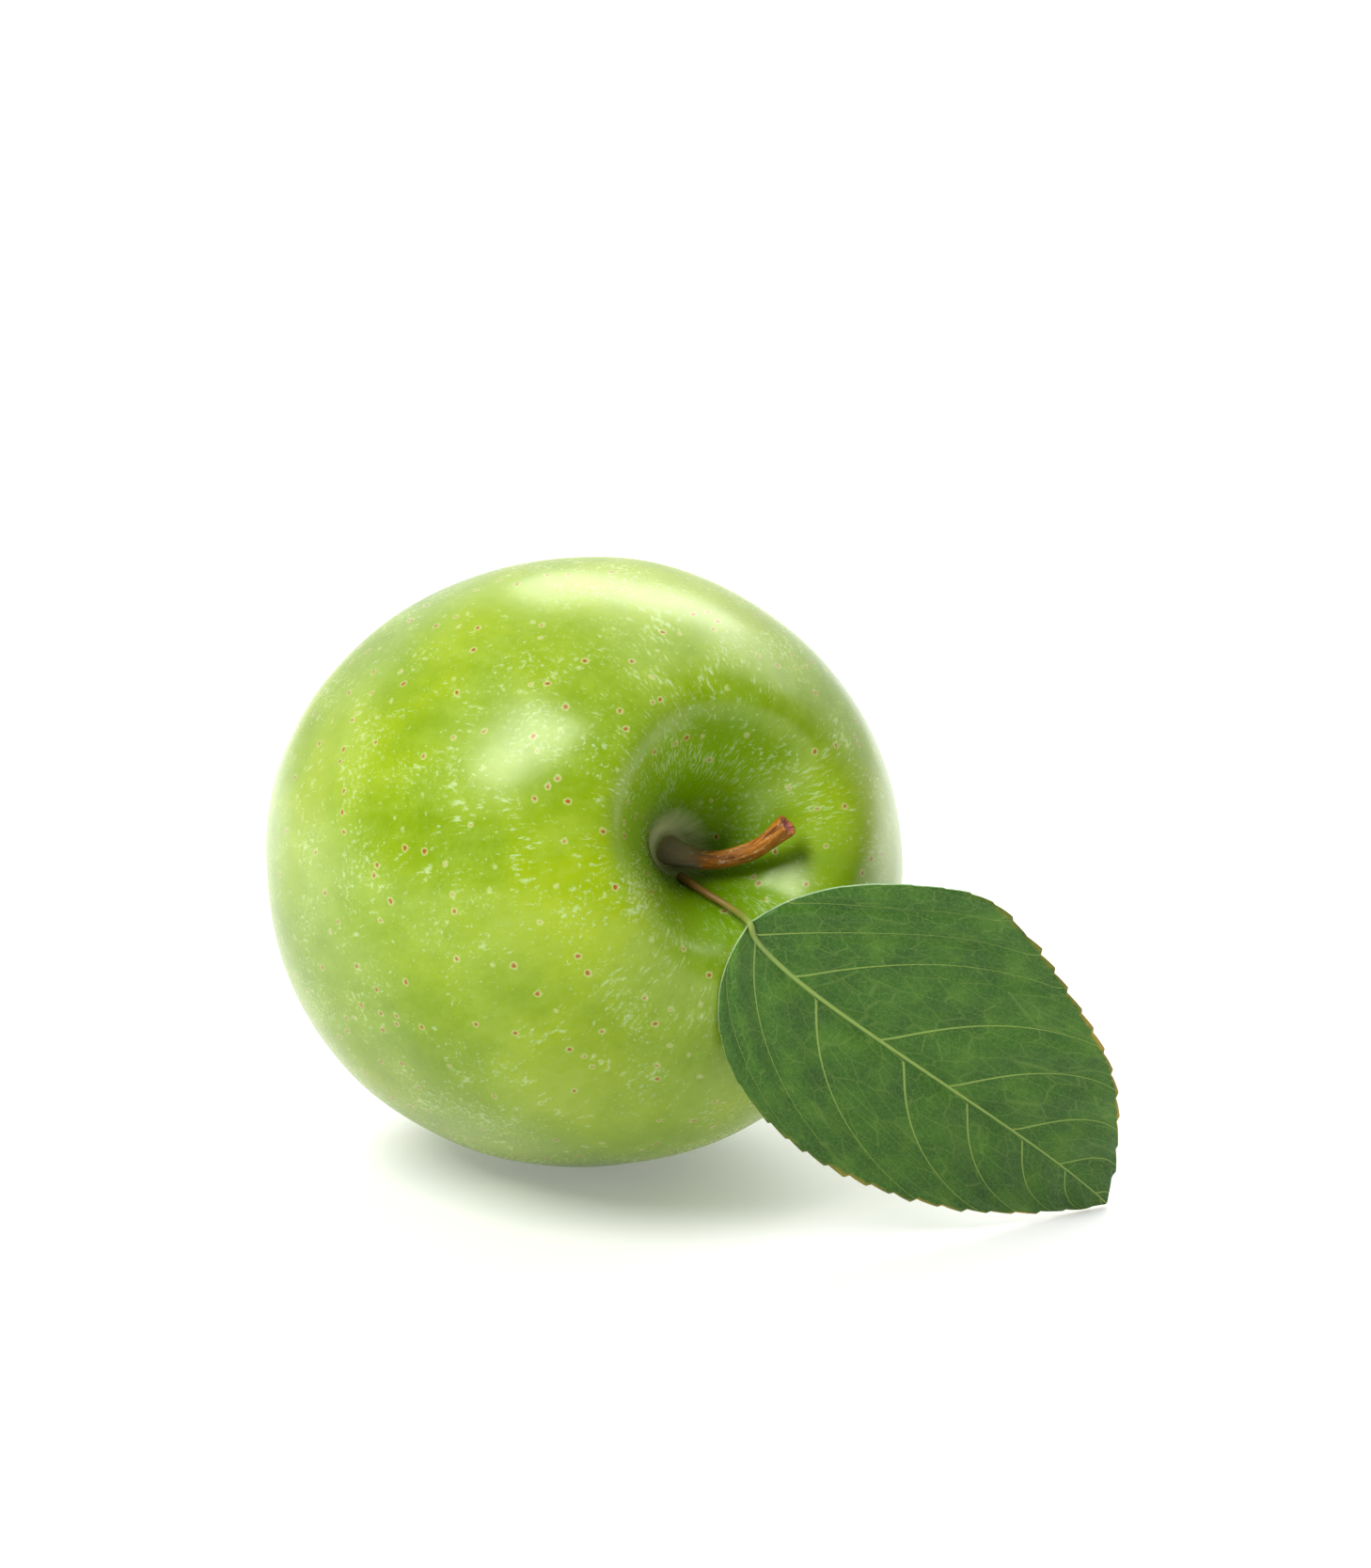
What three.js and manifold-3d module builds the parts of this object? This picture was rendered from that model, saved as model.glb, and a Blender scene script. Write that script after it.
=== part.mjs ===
// A ripe green apple lying on its side, with its woody stalk, one leaf tucked in beside the stalk, and
// the dried flower parts of the calyx at the other end. Millimetres, +Z up. The apple rests on a small
// flat spot, with the origin at its middle, and the stem end leans towards -Y and +X.
import * as THREE from "three";
import { mergeVertices } from "three/addons/utils/BufferGeometryUtils.js";
import Module from "manifold-3d";

const wasm = await Module();
wasm.setup();

const degrees = THREE.MathUtils.degToRad;

// ---- Driving dimensions ----
const BELT_RADIUS = 38.8; // the fruit's radius at its widest belt; its own frame's height 0 is just above
const SHOULDER_HEIGHT = 33.5; // the ring round the stem cavity
const SHOULDER_RADIUS = 17;
const CAVITY_DEPTH = 16.5; // the stem cavity's floor, below the shoulder ring
const CROWN_HEIGHT = -42.7; // the ring round the calyx basin
const CROWN_RADIUS = 10.6;
const BASIN_DEPTH = 7.5; // the calyx basin's floor, inside the crown ring
const OVAL = 0.011; // how far the fruit is from round, as a share of its radius
const OVAL_TURN = degrees(-36); // where the longer diameter lies
const CROWN_LOBES = 0.012; // the five low bumps at the calyx end, as a share of the radius
const SHOULDER_LOBES = 0.5; // the five low humps of the shoulder, in height

const LEAN = degrees(19); // the stem axis, above level
const HEADING = degrees(31); // the stem axis, turned from -Y towards +X
const FLAT_SPOT_DEPTH = 0.5; // how much of the lowest skin the flat spot takes off

const STALK_RADIUS = 1.2; // at its middle
const LEAF_LENGTH = 64.6;
const LEAF_HALF_WIDTH = 17.8;
const LEAF_THICKNESS = 0.6;
const SEPALS = 5;
const STAMENS = 10;
const GAP = 0.3; // between neighbouring pieces

const SKIN_GREEN = 0x8db92e;
const STALK_BROWN = 0x7a4a1c;
const LEAF_GREEN = 0x3f7334;
const DRY_BROWN = 0x6b5334;

// ---- Helpers ----

// A closed geometry as a manifold-3d solid: only positions are kept, with shared vertices merged.
function solidFrom(geometry) {
  const bare = geometry.clone();
  bare.deleteAttribute("normal");
  bare.deleteAttribute("uv");
  const merged = mergeVertices(bare, 1e-4);
  return new wasm.Manifold(
    new wasm.Mesh({
      numProp: 3,
      vertProperties: new Float32Array(merged.getAttribute("position").array),
      triVerts: new Uint32Array(merged.index.array),
    }),
  );
}

function geometryFrom(solid) {
  const mesh = solid.getMesh();
  return new THREE.BufferGeometry()
    .setAttribute("position", new THREE.BufferAttribute(mesh.vertProperties, 3))
    .setIndex(new THREE.BufferAttribute(mesh.triVerts, 1));
}

// Moves each vertex of a geometry to where place(x, y, z) says.
function reshape(geometry, place) {
  const position = geometry.getAttribute("position");
  const point = new THREE.Vector3();
  for (let i = 0; i < position.count; i++) {
    point.fromBufferAttribute(position, i);
    const moved = place(point);
    position.setXYZ(i, moved.x, moved.y, moved.z);
  }
  return geometry;
}

// A round stick of the given radii along its length, bent so that its middle follows the curve.
// radiusAt gets the share of the length, from 0 to 1.
function bentStick(curve, radiusAt, rings, sides) {
  const outline = [new THREE.Vector2(0, 0)];
  for (let i = 0; i <= rings; i++) outline.push(new THREE.Vector2(radiusAt(i / rings), i / rings));
  outline.push(new THREE.Vector2(0, 1));
  const stick = new THREE.LatheGeometry(outline, sides);
  const across = new THREE.Vector3(1, 0, 0);
  return reshape(stick, (p) => {
    const along = THREE.MathUtils.clamp(p.y, 0, 1);
    const tangent = curve.getTangentAt(along);
    const side = across.clone().addScaledVector(tangent, -across.dot(tangent)).normalize();
    const third = new THREE.Vector3().crossVectors(side, tangent);
    return curve.getPointAt(along).addScaledVector(side, p.x).addScaledVector(third, p.z);
  });
}

function part(name, geometry, color, roughness) {
  const mesh = new THREE.Mesh(geometry, new THREE.MeshStandardMaterial({ color, roughness, metalness: 0 }));
  mesh.name = name;
  return mesh;
}

// ---- The fruit ----

// The outline from the stem cavity's floor over the shoulder and down to the calyx basin's floor:
// x is the distance from the stem axis and y the height in the fruit's own frame.
const cavityFloor = SHOULDER_HEIGHT - CAVITY_DEPTH;
const basinFloor = CROWN_HEIGHT + BASIN_DEPTH;
const outline = new THREE.SplineCurve([
  new THREE.Vector2(0, cavityFloor),
  new THREE.Vector2(2.3, cavityFloor + 0.1),
  new THREE.Vector2(3.4, cavityFloor + 1.9),
  new THREE.Vector2(5.8, cavityFloor + 6.2),
  new THREE.Vector2(10, SHOULDER_HEIGHT - 5),
  new THREE.Vector2(SHOULDER_RADIUS, SHOULDER_HEIGHT),
  new THREE.Vector2(25.6, 28),
  new THREE.Vector2(32.6, 19.3),
  new THREE.Vector2(37.3, 8.7),
  new THREE.Vector2(BELT_RADIUS, -3.4),
  new THREE.Vector2(38.1, -15.7),
  new THREE.Vector2(33.6, -27.4),
  new THREE.Vector2(25.4, -36.8),
  new THREE.Vector2(15.6, -42.2),
  new THREE.Vector2(CROWN_RADIUS, CROWN_HEIGHT),
  new THREE.Vector2(7.4, basinFloor - 5),
  new THREE.Vector2(3.4, basinFloor - 0.6),
  new THREE.Vector2(0, basinFloor),
]);

// The fruit isn't quite round: it is a little oval, its crown has five bumps, and so has its shoulder.
function skinPoint(radius, height, turn) {
  const towardsCrown = THREE.MathUtils.smoothstep(-height, 5, 40);
  const onShoulder = Math.exp(-(((radius - SHOULDER_RADIUS) / 8) ** 2)) * (height > 0 ? 1 : 0);
  const oval = OVAL * Math.cos(2 * (turn - OVAL_TURN));
  const bumps = CROWN_LOBES * towardsCrown * Math.cos(5 * turn);
  const wide = radius * (1 + oval + bumps);
  const high = height + SHOULDER_LOBES * onShoulder * Math.cos(5 * turn + 1);
  return new THREE.Vector3(wide * Math.cos(turn), wide * Math.sin(turn), high);
}

const OUTLINE_STEPS = 44;
const ROUND_STEPS = 56;
const outlinePoints = outline.getPoints(OUTLINE_STEPS).map((p) => new THREE.Vector2(Math.max(p.x, 0), p.y));
outlinePoints[0].x = 0;
outlinePoints[OUTLINE_STEPS].x = 0;
const roundFruit = new THREE.LatheGeometry(outlinePoints.toReversed(), ROUND_STEPS);
roundFruit.rotateX(Math.PI / 2);
reshape(roundFruit, (p) => skinPoint(Math.hypot(p.x, p.y), p.z, Math.atan2(p.y, p.x)));

// ---- How the fruit lies ----

const apple = new THREE.Group();
apple.rotation.set(Math.PI / 2 - LEAN, 0, HEADING, "ZYX");

// The lowest point of the skin, near the line under the stem axis, goes a little below the origin.
const underside = [];
for (const p of outline.getPoints(300)) {
  for (let turn = -110; turn <= -70; turn += 1) {
    underside.push(skinPoint(p.x, p.y, degrees(turn)).applyEuler(apple.rotation));
  }
}
const lowest = underside.reduce((low, p) => (p.z < low.z ? p : low));
apple.position.set(-lowest.x, -lowest.y, -lowest.z - FLAT_SPOT_DEPTH);
apple.updateMatrixWorld(true);

const surfaceBlock = new THREE.BoxGeometry(60, 60, 20).translate(0, 0, -10);
surfaceBlock.applyMatrix4(apple.matrixWorld.clone().invert());
const fruit = solidFrom(roundFruit).subtract(solidFrom(surfaceBlock));
apple.add(part("fruit", geometryFrom(fruit), SKIN_GREEN, 0.35));

// ---- The stalk ----

// It stands on the cavity's floor, leans out over the side and is thicker at both ends.
const stalkLine = new THREE.CatmullRomCurve3([
  new THREE.Vector3(0.1, -0.4, cavityFloor + GAP + 0.5),
  new THREE.Vector3(0.4, -1.3, cavityFloor + 3),
  new THREE.Vector3(2.4, -2.6, cavityFloor + 7),
  new THREE.Vector3(5.7, -2.2, cavityFloor + 11.4),
  new THREE.Vector3(8.2, 0, cavityFloor + 15.7),
]);
const stalkRadius = (t) =>
  STALK_RADIUS * (1 + 0.6 * Math.exp(-((t / 0.22) ** 2)) + 0.25 * Math.exp(-(((1 - t) / 0.16) ** 2)));
apple.add(part("stalk", bentStick(stalkLine, stalkRadius, 18, 14), STALK_BROWN, 0.6));

// ---- The calyx: five dried sepals round ten withered stamens and the stub of the style ----

const SEPAL_RING = 3.1;
const SEPAL_LENGTH = 6.5;
const SEPAL_HALF_WIDTH = 1.55;
const SEPAL_THICKNESS = 0.5;

// The basin's floor at a distance from the axis, as the depth that a piece standing there starts at.
const basinFoot = (radius) => basinFloor - 0.09 * radius * radius - GAP;

// A sepal is a narrow triangle that rises out of the basin, leans out and curls back at its point.
function sepal() {
  const blade = new THREE.BoxGeometry(SEPAL_THICKNESS, 2, 1, 1, 2, 8);
  return reshape(blade, (p) => {
    const along = 0.5 - p.z; // from the foot, 0, to the point, 1
    const halfWidth = SEPAL_HALF_WIDTH * (1 - along) ** 0.8 + 0.15;
    const y = p.y * halfWidth;
    const cupped = (0.28 * y * y) / SEPAL_HALF_WIDTH;
    const out = SEPAL_RING + p.x - cupped + 1.1 * along + 1.6 * along ** 3;
    return new THREE.Vector3(out, y, basinFoot(SEPAL_RING + 0.4) - SEPAL_LENGTH * along * (1 - 0.22 * along));
  });
}

for (let i = 0; i < SEPALS; i++) {
  const one = part(`sepal_${i + 1}`, sepal(), DRY_BROWN, 0.9);
  one.rotation.z = (2 * Math.PI * i) / SEPALS;
  apple.add(one);
}

const STAMEN_RING = 1.7;
const STAMEN_LENGTH = 4.2;
const STAMEN_RADIUS = 0.22;
for (let i = 0; i < STAMENS; i++) {
  const splay = 0.35 + 0.25 * Math.sin(3 * i);
  const foot = basinFoot(STAMEN_RING);
  const line = new THREE.QuadraticBezierCurve3(
    new THREE.Vector3(STAMEN_RING, 0, foot),
    new THREE.Vector3(STAMEN_RING, 0, foot - 0.6 * STAMEN_LENGTH),
    new THREE.Vector3(STAMEN_RING + splay, 0.3 * Math.cos(2 * i), foot - STAMEN_LENGTH),
  );
  const radius = (t) => STAMEN_RADIUS * (1 + 0.4 * t * t);
  const one = part(`stamen_${String(i + 1).padStart(2, "0")}`, bentStick(line, radius, 5, 6), DRY_BROWN, 0.9);
  one.rotation.z = (2 * Math.PI * (i + 0.5)) / STAMENS;
  apple.add(one);
}

const styleLine = new THREE.LineCurve3(
  new THREE.Vector3(0, 0, basinFoot(0.9)),
  new THREE.Vector3(0, 0, basinFoot(0.9) - 3.2),
);
const styleRadius = (t) => 0.75 - 0.3 * t;
apple.add(part("style_stub", bentStick(styleLine, styleRadius, 4, 10), DRY_BROWN, 0.9));

// ---- The leaf ----

// In the leaf's own frame +X runs along its chord from the blade's base to its tip, +Y goes across to the
// upper edge and +Z stands out of the upper face.
const LEAF_BASE = new THREE.Vector3(18.4, -34.6, 1.9); // from the middle of the fruit's belt
const LEAF_HEADING = degrees(22.6);
const LEAF_SLOPE = degrees(39.8);
const LEAF_ROLL = degrees(102.5);
const BLADE_STEPS = 34;
const HALF_BLADE_STEPS = 4;

// Half the blade's width at a share of its length, on its upper (side 1) or lower (side -1) half, as a share
// of LEAF_HALF_WIDTH: the upper half is the wider one and starts as a wedge, the lower half starts rounder.
const leafOutline = (u, side) =>
  side > 0 ? (u ** 0.62 * (1 - u) ** 0.95) / 0.323 : (Math.sqrt(u) * (1 - u) ** 0.9) / 0.4016;

// The midrib bows down from the chord, most of all near the base, and the tip bends down with it.
const ribHeight = (u) => -9.3 * u ** 0.6 * (1 - u) ** 2.5;
const tipBend = (u) => -1.2 * u ** 6;

// The blade arches along its length, folds up a little along the midrib and waves towards its margins.
function leafPoint(u, y, lift) {
  const fromRib = y - ribHeight(u);
  const arch = 2.2 * Math.sin(Math.PI * u) - 0.8 * Math.sin(2 * Math.PI * u);
  const fold = 0.09 * Math.abs(fromRib);
  const wave = 0.5 * Math.sin(9 * u) * (fromRib / LEAF_HALF_WIDTH) ** 2;
  return new THREE.Vector3(LEAF_LENGTH * u, y + tipBend(u), arch + fold + wave + lift);
}

const blade = new THREE.BoxGeometry(1, 2, 1, BLADE_STEPS, 2 * HALF_BLADE_STEPS, 1);
reshape(blade, (p) => {
  const u = 0.5 - 0.5 * Math.cos(Math.PI * (p.x + 0.5));
  const halfWidth = LEAF_HALF_WIDTH * leafOutline(u, Math.sign(p.y)) + 0.35;
  const y = ribHeight(u) * (1 - Math.abs(p.y)) + halfWidth * p.y;
  return leafPoint(u, y, p.z * LEAF_THICKNESS);
});

const leaf = new THREE.Group();
leaf.position.copy(apple.position).add(LEAF_BASE);
leaf.rotation.set(0, 0, 0, "ZYX");
leaf.rotation.z = LEAF_HEADING;
leaf.rotation.y = LEAF_SLOPE;
leaf.rotation.x = LEAF_ROLL;
leaf.updateMatrixWorld(true);

// The leaf's stalk rises out of the stem cavity, beside the apple's own stalk, and runs into the midrib.
const fromApple = leaf.matrixWorld.clone().invert().multiply(apple.matrixWorld);
const inLeaf = (x, y, z) => new THREE.Vector3(x, y, z).applyMatrix4(fromApple);
const petioleLine = new THREE.CatmullRomCurve3([
  inLeaf(-1.3, -3.7, 22),
  inLeaf(-0.6, -5.6, 26),
  inLeaf(0.4, -8.1, 30.4),
  leafPoint(0, 0, 0),
  leafPoint(0.03, ribHeight(0.03), 0),
  leafPoint(0.1, ribHeight(0.1), -0.3),
]);
const petioleRadius = (t) => 0.55 - 0.15 * t + 0.25 * Math.exp(-((t / 0.1) ** 2));
const petiole = bentStick(petioleLine, petioleRadius, 12, 8);
const wholeLeaf = solidFrom(blade).add(solidFrom(petiole));
leaf.add(part("leaf", geometryFrom(wholeLeaf), LEAF_GREEN, 0.55));

// ---- The whole object ----

const whole = new THREE.Group();
whole.add(apple);
whole.add(leaf);

export default whole;
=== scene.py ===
# %% [markdown]
# # A green apple lying on its side, with its stalk and one leaf
#
# An apple is a closed skin of revolution, nearly: a line drawn from the hole of the stalk, over the
# shoulder and the belt, to the dried flower at the other end, and turned round the axis. What makes it an
# apple and not a turned ball is small. It is a little oval, its crown has five low bumps, and its skin is
# full of marks. This lesson makes fruit, stalk, leaf and calyx in turn, each piece's shape first and its
# finish after that. Shapes are drawn in millimetres and end in metres in the CAD model's frame, so the
# finished pieces lie where the plain CAD solids lie.

# %% Load the CAD frame
import math

import bmesh
import bpy
from mathutils import Matrix, Vector, noise
from mathutils.geometry import interpolate_bezier


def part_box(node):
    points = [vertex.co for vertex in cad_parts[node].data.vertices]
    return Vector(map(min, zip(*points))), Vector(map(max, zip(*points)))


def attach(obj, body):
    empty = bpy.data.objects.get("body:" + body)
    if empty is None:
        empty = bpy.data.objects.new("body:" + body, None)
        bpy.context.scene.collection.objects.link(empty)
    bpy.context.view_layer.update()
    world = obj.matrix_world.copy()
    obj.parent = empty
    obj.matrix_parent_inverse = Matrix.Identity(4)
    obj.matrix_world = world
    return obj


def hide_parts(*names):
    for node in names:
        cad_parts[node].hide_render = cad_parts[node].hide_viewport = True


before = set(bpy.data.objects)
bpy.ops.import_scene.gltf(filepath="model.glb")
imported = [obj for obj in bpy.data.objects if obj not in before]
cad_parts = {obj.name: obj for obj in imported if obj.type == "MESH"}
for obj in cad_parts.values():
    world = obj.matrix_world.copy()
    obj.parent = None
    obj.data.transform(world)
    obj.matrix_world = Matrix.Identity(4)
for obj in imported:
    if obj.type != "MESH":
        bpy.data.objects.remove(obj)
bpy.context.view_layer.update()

MM = 0.001
fruit_low, fruit_high = (Vector(corner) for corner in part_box("fruit"))
print("fruit in CAD, mm:", [round(side / MM, 1) for side in fruit_high - fruit_low])

# %% [markdown]
# ## Small helpers
#
# Colours are easiest to choose as the hex values of a paint chart, but a shader works in linear light, so
# one function turns the one into the other. A second adds a node to a material with its settings and its
# links. The next few name the steps that every material here is made of: read a map, draw a pattern out
# along one axis, make a noise, carry a value from one range to another, do a sum, lay a colour over
# another, and press the result into the surface. The last one makes a mesh object and says which CAD pieces
# it stands for.

# %% Colours, nodes and pieces
def linear(code):
    """An sRGB hex colour such as "a4c22b" as linear RGBA, opaque."""
    parts = [int(code[i : i + 2], 16) / 255 for i in (0, 2, 4)]
    return (*[p / 12.92 if p <= 0.04045 else ((p + 0.055) / 1.055) ** 2.4 for p in parts], 1.0)


def add(tree, kind, inputs=None, stops=None, **settings):
    """A node with its settings; inputs are values or the output sockets that feed them."""
    node = tree.nodes.new("ShaderNode" + kind)
    for name, value in settings.items():
        setattr(node, name, value)
    for place, value in (inputs or {}).items():
        if isinstance(value, bpy.types.NodeSocket):
            tree.links.new(value, node.inputs[place])
        else:
            node.inputs[place].default_value = value
    if stops:
        elements = node.color_ramp.elements
        while len(elements) < len(stops):
            elements.new(1.0)
        for element, (where, code) in zip(elements, stops):
            element.position = where
            element.color = linear(code)
    return node


def new_material(name):
    material = bpy.data.materials.new(name)
    material.use_nodes = True
    return material, material.node_tree, material.node_tree.nodes["Principled BSDF"]


def mesh_map(tree, name):
    """The map of this name that the mesh keeps at its points."""
    return add(tree, "Attribute", attribute_name=name).outputs["Vector"]


def drawn_out(tree, place, shares):
    """The place times the shares: a pattern read there is long along the axes with a small share."""
    return add(tree, "VectorMath", {0: place, 1: shares}, operation="MULTIPLY").outputs["Vector"]


def noise_at(tree, place, scale, detail, roughness=0.5):
    inputs = {"Vector": place, "Scale": scale, "Detail": detail, "Roughness": roughness}
    return add(tree, "TexNoise", inputs).outputs["Fac"]


def carried(tree, value, old, new, **settings):
    """The value carried from the range old to the range new, and held at the ends of new."""
    inputs = {"Value": value, "From Min": old[0], "From Max": old[1], "To Min": new[0], "To Max": new[1]}
    return add(tree, "MapRange", inputs, **settings).outputs["Result"]


def maths(tree, operation, *terms):
    """One step of arithmetic, such as MAXIMUM or MULTIPLY_ADD, on one to three terms."""
    return add(tree, "Math", dict(enumerate(terms)), operation=operation).outputs[0]


def laid_over(tree, below, above, share):
    """The colour above, laid over the one below by the share."""
    return add(tree, "Mix", {"Factor": share, "A": below, "B": above}, data_type="RGBA").outputs["Result"]


def relief_of(tree, height, strength, depth, **settings):
    """The height pressed into the surface, to a depth in millimetres."""
    inputs = {"Height": height, "Strength": strength, "Distance": depth * MM}
    return add(tree, "Bump", inputs, **settings).outputs["Normal"]


def piece(name, shape, stands_for, materials):
    """A finished bmesh as an object that rides on the apple and stands for CAD nodes."""
    mesh = bpy.data.meshes.new(name)
    shape.to_mesh(mesh)
    shape.free()
    mesh.shade_smooth()
    for material in materials:
        mesh.materials.append(material)
    made = bpy.data.objects.new(name, mesh)
    bpy.context.collection.objects.link(made)
    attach(made, "root")
    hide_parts(*stands_for)
    print(name, len(mesh.polygons), "faces")


# %% [markdown]
# ## The camera
#
# A long lens from a little above shows a small object without bending it. The camera stands half a metre in
# front of the apple, 15 degrees up, and looks past the fruit's middle so that the leaf has room beside it.

# %% Camera
CAMERA_RISE = math.radians(15)
CAMERA_DISTANCE = 520 * MM
CAMERA_AIM = Vector((13.0, -3.3, 49.5)) * MM
FOCAL_LENGTH = 94.2
FILM_WIDTH = 36

camera = bpy.data.objects.new("camera", bpy.data.cameras.new("camera"))
camera.data.lens = FOCAL_LENGTH
camera.data.sensor_width = FILM_WIDTH
camera.location = CAMERA_AIM + CAMERA_DISTANCE * Vector((0, -math.cos(CAMERA_RISE), math.sin(CAMERA_RISE)))
camera.rotation_euler = (math.pi / 2 - CAMERA_RISE, 0, 0)
bpy.context.collection.objects.link(camera)
bpy.context.scene.camera = camera

# %% [markdown]
# ## The fruit's outline
#
# The outline is a few points, each a distance from the stem axis and a height, and a smooth line through
# them. It could be drawn as a Bezier curve by hand. Here each span between two points is one Bezier piece
# whose handles follow the neighbouring points, so the line passes through every point without a kink.

# %% Outline
CAVITY_FLOOR = 17
SHOULDER = (17, 33.5)
BASIN_FLOOR = -35.2
OUTLINE = [
    (0, CAVITY_FLOOR), (2.3, 17.1), (3.4, 18.9), (5.8, 23.2), (10, 28.5), SHOULDER, (25.6, 28), (32.6, 19.3),
    (37.3, 8.7), (38.8, -3.4), (38.1, -15.7), (33.6, -27.4), (25.4, -36.8), (15.6, -42.2), (10.6, -42.7),
    (7.4, -40.2), (3.4, -35.8), (0, BASIN_FLOOR),
]
SPAN_STEPS = 11


def line_through(points, steps):
    """A smooth line through the points, with this many steps between two of them."""
    points = [Vector((*p, 0)) if len(p) == 2 else Vector(p) for p in points]
    line = []
    for i in range(len(points) - 1):
        before, start = points[max(i - 1, 0)], points[i]
        end, after = points[i + 1], points[min(i + 2, len(points) - 1)]
        first_handle = start + (end - before) / 6
        second_handle = end - (after - start) / 6
        line += interpolate_bezier(start, first_handle, second_handle, end, steps + 1)[:-1]
    return line + [points[-1]]


outline = line_through(OUTLINE, SPAN_STEPS)
print("outline points:", len(outline))

# %% [markdown]
# ## Turning the outline into a skin
#
# Spin turns the outline round the axis like clay on a wheel. Before that, each point of the outline is told
# how far it lies from the stalk's foot along the skin, because streaks and specks follow the skin, not the
# space round it. The spin hands that number on to every ring. Then each point moves a little for the oval,
# for the five bumps of the crown and for the five humps of the shoulder, and a slow noise takes the last
# lathe-turned evenness away.

# %% Spin the skin
TURN_STEPS = 250
BUMPS = 5
OVAL, OVAL_TURN = 0.011, math.radians(-36)
CROWN_BUMPS = 0.012
SHOULDER_HUMPS, HUMP_WIDTH, HUMP_TURN = 0.5, 8, 1
UNEVENNESS = 0.16 / 38
UNEVEN_SPACING = 11


def smooth_step(x, low, high):
    """Rises from 0 at low to 1 at high, with no corner at either end."""
    t = min(max((x - low) / (high - low), 0), 1)
    return t * t * (3 - 2 * t)


def grown(co):
    """Where a point of the turned skin lies on the grown fruit, in millimetres from its middle."""
    radius, turn = math.hypot(co.x, co.y), math.atan2(co.y, co.x)
    bumps = CROWN_BUMPS * smooth_step(-co.z, 5, 40) * math.cos(BUMPS * turn)
    wide = radius * (1 + OVAL * math.cos(2 * (turn - OVAL_TURN)) + bumps)
    on_shoulder = math.exp(-(((radius - SHOULDER[0]) / HUMP_WIDTH) ** 2)) if co.z > 0 else 0
    high = co.z + SHOULDER_HUMPS * on_shoulder * math.cos(BUMPS * turn + HUMP_TURN)
    uneven = 1 + UNEVENNESS * noise.noise(co / UNEVEN_SPACING) * smooth_step(radius, 4, 12)
    return Vector((wide * math.cos(turn), wide * math.sin(turn), high)) * uneven


def spun_skin():
    """The turned skin, with the layer that holds the way along it, and its length from end to end."""
    shape = bmesh.new()
    way = shape.verts.layers.float.new("way")
    line = [shape.verts.new((p.x, 0, p.y)) for p in outline]
    length = 0.0
    for before, vert in zip(line, line[1:]):
        length += (vert.co - before.co).length
        vert[way] = length
    threads = [shape.edges.new(pair) for pair in zip(line, line[1:])]
    bmesh.ops.spin(
        shape, geom=line + threads, cent=(0, 0, 0), axis=(0, 0, 1), angle=2 * math.pi, steps=TURN_STEPS,
        use_merge=True,
    )
    bmesh.ops.remove_doubles(shape, verts=shape.verts, dist=0.001)
    bmesh.ops.recalc_face_normals(shape, faces=shape.faces)
    return shape, way, length


fruit_shape, way_layer, skin_length = spun_skin()
print("from the stalk's foot to the calyx along the skin, mm:", round(skin_length, 1))

# %% [markdown]
# ## Two maps for the skin's finish
#
# A material needs to know where it is. "own" is the point in the fruit's own upright frame in millimetres,
# for marks that look the same in every direction. "skin" is the direction round the axis and the way along
# the skin, for marks that are drawn out from the stalk towards the belt. Both are kept on the mesh, so the
# marks stay with the fruit wherever it lies.

# %% Keep the maps and lay the fruit down
LEAN = math.radians(19)
HEADING = math.radians(31)
lying = Matrix.Rotation(HEADING, 4, "Z") @ Matrix.Rotation(math.pi / 2 - LEAN, 4, "X") @ Matrix.Scale(MM, 4)


def lay_down(shape, way):
    """Writes the maps, grows the bumps and lays the fruit where the CAD solid lies. Gives its middle."""
    own = shape.verts.layers.float_vector.new("own")
    skin = shape.verts.layers.float_vector.new("skin")
    for vert in shape.verts:
        turn = math.atan2(vert.co.y, vert.co.x)
        vert[skin] = Vector((math.cos(turn), math.sin(turn), vert[way]))
        vert.co = grown(vert.co)
        vert[own] = vert.co.copy()
    bmesh.ops.transform(shape, matrix=lying, verts=shape.verts)
    low = [min(v.co[k] for v in shape.verts) for k in range(3)]
    high = [max(v.co[k] for v in shape.verts) for k in range(3)]
    middle = [(fruit_low[k] + fruit_high[k] - low[k] - high[k]) / 2 for k in range(2)]
    middle = Vector((*middle, fruit_high.z - high[2]))
    bmesh.ops.translate(shape, vec=middle, verts=shape.verts)
    for vert in shape.verts:
        vert.co.z = max(vert.co.z, fruit_low.z)
    return middle


apple_middle = lay_down(fruit_shape, way_layer)
in_place = Matrix.Translation(apple_middle) @ lying
print("middle of the fruit, mm:", [round(c / MM, 2) for c in apple_middle])
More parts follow.
